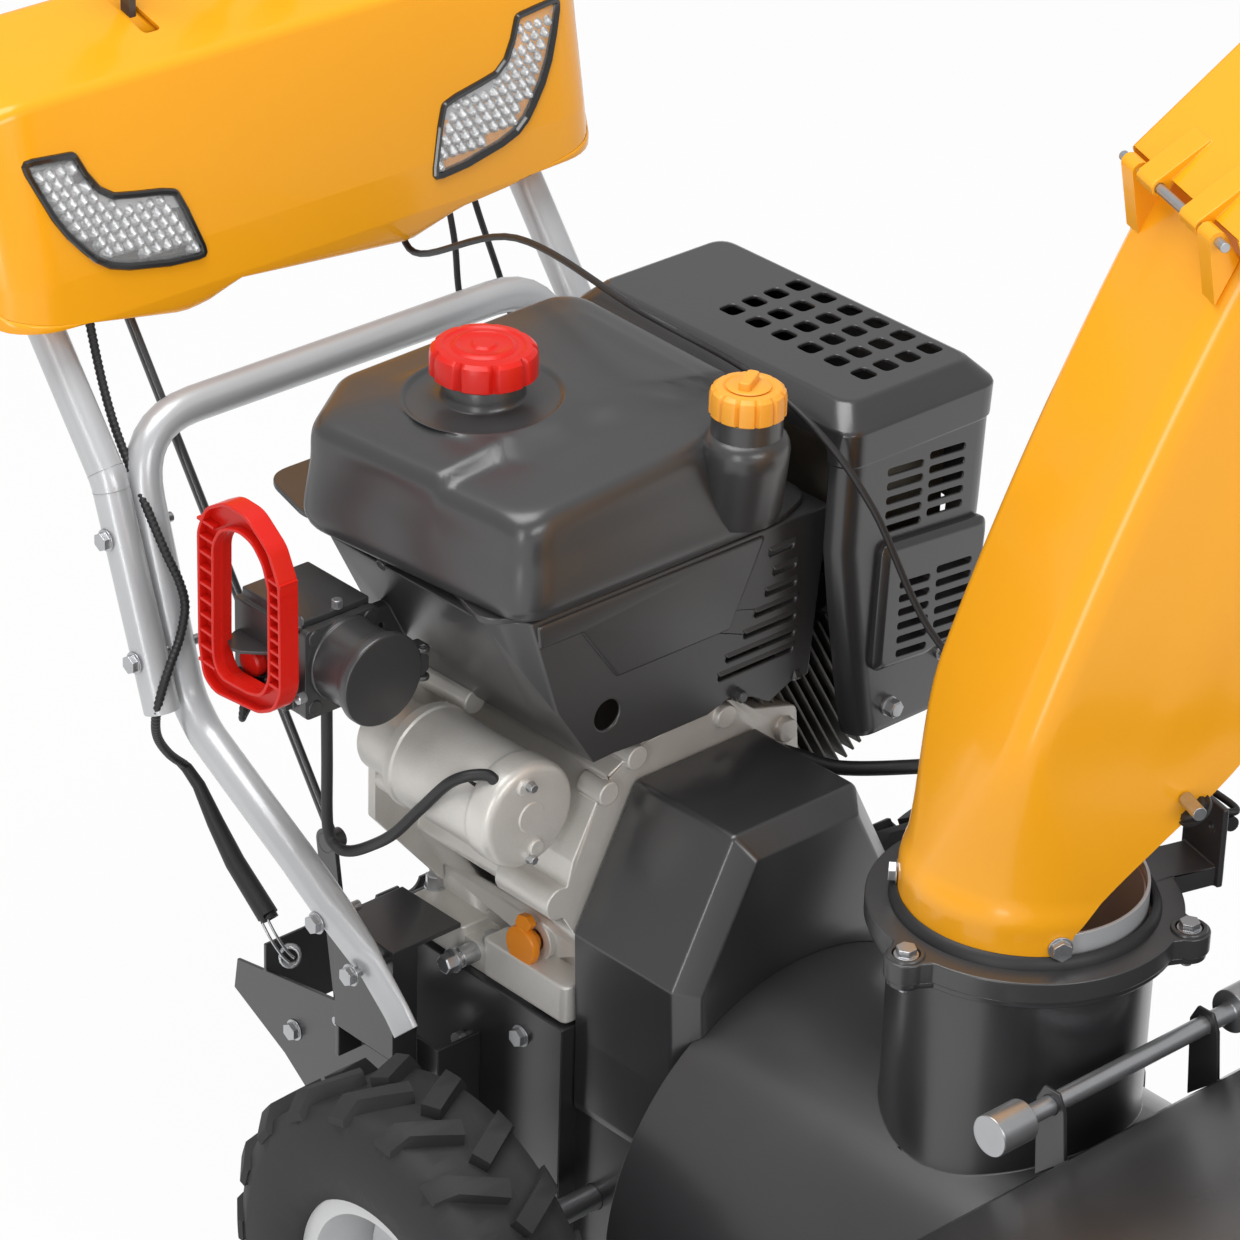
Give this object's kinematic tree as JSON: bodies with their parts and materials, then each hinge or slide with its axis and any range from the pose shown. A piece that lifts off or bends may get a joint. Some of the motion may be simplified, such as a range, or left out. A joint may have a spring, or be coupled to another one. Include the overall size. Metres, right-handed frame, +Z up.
{
  "type": "two stage snowblower",
  "caption": "Walk-behind snow thrower: auger housing and impeller drum in front, turning discharge chute, small engine on a wheeled frame, handlebars with a control console.",
  "frame": {"origin": "on the floor under the middle of the wheel axle", "axes": "+Z up, -Y forward to the auger mouth, +Y back to the operator, +X to the machine's left"},
  "size_m": [0.716, 1.5, 1.1529],
  "materials": {
    "black_paint": "satin black powder coat",
    "orange_paint": "glossy orange-yellow powder coat",
    "bare_steel": "zinc plated and machined steel",
    "tube_steel": "plated tube",
    "cast_aluminium": "as-cast aluminium",
    "cast_iron": "cast iron",
    "black_plastic": "satin moulded plastic",
    "yellow_plastic": "gloss moulded plastic",
    "orange_plastic": "gloss moulded plastic",
    "red_plastic": "gloss moulded plastic",
    "rubber": "black rubber",
    "tyre": "black tyre rubber",
    "rim_paint": "light grey enamel",
    "lens": "clear lens"
  },
  "bodies": {
    "machine": {"auger_housing": "black_paint", "impeller_drum": "black_paint", "scraper_bar": "black_paint", "skid_shoes": "black_paint", "shaft_bearings": "bare_steel", "auger_gearbox": "cast_iron", "v_belts": "rubber", "drive_chain": "bare_steel", "chassis_shell": "black_paint", "belly_plate": "black_paint", "tail_frame": "black_paint", "belt_cover": "black_plastic", "crankcase": "cast_aluminium", "cylinder_head": "cast_aluminium", "engine_shroud": "black_plastic", "tank_plate": "black_paint", "fuel_tank": "black_plastic", "oil_neck": "black_plastic", "muffler": "bare_steel", "muffler_guard": "black_paint", "starter_motor": "cast_aluminium", "switch_box": "black_plastic", "recoil_cover": "black_paint", "lower_handle": "tube_steel", "upper_handles": "tube_steel", "console": "orange_paint", "headlights": "lens", "grips": "rubber", "chute_ring": "black_plastic", "cables": "rubber", "shift_rod": "bare_steel", "clean_out_tool": "bare_steel", "fasteners": "bare_steel"},
    "auger": {"auger_shaft": "bare_steel", "auger_rakes": "orange_paint"},
    "impeller": {"impeller_shaft": "bare_steel", "impeller": "orange_paint", "auger_pulley": "bare_steel"},
    "crank": {"crank_pulley": "bare_steel"},
    "disc": {"drive_disc": "bare_steel"},
    "hex": {"hex_shaft": "bare_steel"},
    "friction": {"friction_wheel": "rubber"},
    "wheels": {"axle": "bare_steel", "wheel_rims": "rim_paint", "tyres": "tyre"},
    "fuel_cap": {"fuel_cap": "red_plastic"},
    "oil_cap": {"oil_cap": "yellow_plastic"},
    "dipstick": {"dipstick": "orange_plastic"},
    "socket_lid": {"socket_lid": "black_plastic"},
    "start_button": {"start_button": "red_plastic"},
    "recoil_handle": {"recoil_handle": "red_plastic"},
    "drive_lever": {"drive_lever": "black_plastic"},
    "auger_lever": {"auger_lever": "black_plastic"},
    "shift_lever": {"shift_lever": "black_plastic"},
    "chute_lever": {"chute_lever": "black_plastic"},
    "deflector_lever": {"deflector_lever": "black_plastic"},
    "chute": {"chute_sleeve": "tube_steel", "chute": "orange_paint", "chute_pins": "bare_steel"},
    "deflector": {"deflector": "orange_paint"}
  },
  "joints": [
    {"name": "impeller_spin", "type": "hinge", "parent": "machine", "child": "impeller", "pos_m": [0, -0.22, 0.197], "axis": [0, 1, 0], "continuous": true},
    {"name": "auger_spin", "type": "hinge", "parent": "machine", "child": "auger", "pos_m": [0, -0.582, 0.172], "axis": [1, 0, 0], "continuous": true},
    {"name": "crank_spin", "type": "hinge", "parent": "machine", "child": "crank", "pos_m": [0, -0.02, 0.411], "axis": [0, 1, 0], "continuous": true},
    {"name": "disc_spin", "type": "hinge", "parent": "machine", "child": "disc", "pos_m": [0, -0.02, 0.248], "axis": [0, 1, 0], "continuous": true},
    {"name": "wheels_spin", "type": "hinge", "parent": "machine", "child": "wheels", "pos_m": [0, 0, 0.165], "axis": [1, 0, 0], "continuous": true},
    {"name": "hex_spin", "type": "hinge", "parent": "machine", "child": "hex", "pos_m": [0, 0.1324, 0.245], "axis": [1, 0, 0], "continuous": true},
    {"name": "friction_slide", "type": "slide", "parent": "hex", "child": "friction", "axis": [1, 0, 0], "range_m": [-0.042, 0.042]},
    {"name": "shift_lever_turn", "type": "hinge", "parent": "machine", "child": "shift_lever", "pos_m": [0.068, 0.552, 0.792], "axis": [1, 0, 0], "range_deg": [-12.5, 12.5]},
    {"name": "chute_turn", "type": "hinge", "parent": "machine", "child": "chute", "pos_m": [0, -0.308, 0.531], "axis": [0, 0, 1], "range_deg": [-168, 32]},
    {"name": "chute_lever_turn", "type": "hinge", "parent": "machine", "child": "chute_lever", "pos_m": [0, 0.552, 0.792], "axis": [0, 1, 0], "range_deg": [-16.2, 3.2]},
    {"name": "deflector_tilt", "type": "hinge", "parent": "chute", "child": "deflector", "pos_m": [0.06305, -0.33347, 1.044], "axis": [0.3746, 0.9272, 0], "range_deg": [-15, 28]},
    {"name": "deflector_lever_turn", "type": "hinge", "parent": "machine", "child": "deflector_lever", "pos_m": [-0.104, 0.552, 0.792], "axis": [1, 0, 0], "range_deg": [-3.2, 5.8]},
    {"name": "drive_lever_press", "type": "hinge", "parent": "machine", "child": "drive_lever", "pos_m": [-0.2333, 0.636, 0.948], "axis": [1, 0, 0], "range_deg": [-25, 0], "stiffness_Nm_per_rad": 0.6, "springref_deg": 11.46},
    {"name": "auger_lever_press", "type": "hinge", "parent": "machine", "child": "auger_lever", "pos_m": [0.2333, 0.636, 0.948], "axis": [1, 0, 0], "range_deg": [-25, 0], "stiffness_Nm_per_rad": 0.6, "springref_deg": 11.46},
    {"name": "fuel_cap_turn", "type": "hinge", "parent": "machine", "child": "fuel_cap", "pos_m": [-0.104, 0.145, 0.79], "axis": [0, 0, 1], "range_deg": [0, 90]},
    {"name": "oil_cap_turn", "type": "hinge", "parent": "machine", "child": "oil_cap", "pos_m": [0.008, -0.008, 0.77], "axis": [0, 0, 1], "range_deg": [0, 90]},
    {"name": "dipstick_turn", "type": "hinge", "parent": "machine", "child": "dipstick", "pos_m": [-0.11, 0.077, 0.352], "axis": [1, 0, 0], "range_deg": [0, 360]},
    {"name": "socket_lid_swing", "type": "hinge", "parent": "machine", "child": "socket_lid", "pos_m": [-0.19, 0.108, 0.603], "axis": [0, 0, 1], "range_deg": [0, 90], "stiffness_Nm_per_rad": 0.02, "springref_deg": -17.19},
    {"name": "start_button_press", "type": "slide", "parent": "machine", "child": "start_button", "axis": [1, 0, 0], "range_m": [0, 0.004], "stiffness_N_per_m": 400, "springref_m": -0.002},
    {"name": "recoil_pull", "type": "slide", "parent": "machine", "child": "recoil_handle", "axis": [-0.6202, 0.6202, 0.4802], "range_m": [0, 0.5]}
  ],
  "couplings": [
    {"joint": "auger_spin", "follows": "impeller_spin", "ratio": 0.1},
    {"joint": "hex_spin", "follows": "wheels_spin", "ratio": 2.9524},
    {"joint": "shift_lever_turn", "follows": "friction_slide", "rad_per_m": 5},
    {"joint": "chute_lever_turn", "follows": "chute_turn", "ratio": 0.095},
    {"joint": "deflector_lever_turn", "follows": "deflector_tilt", "ratio": 0.2}
  ]
}
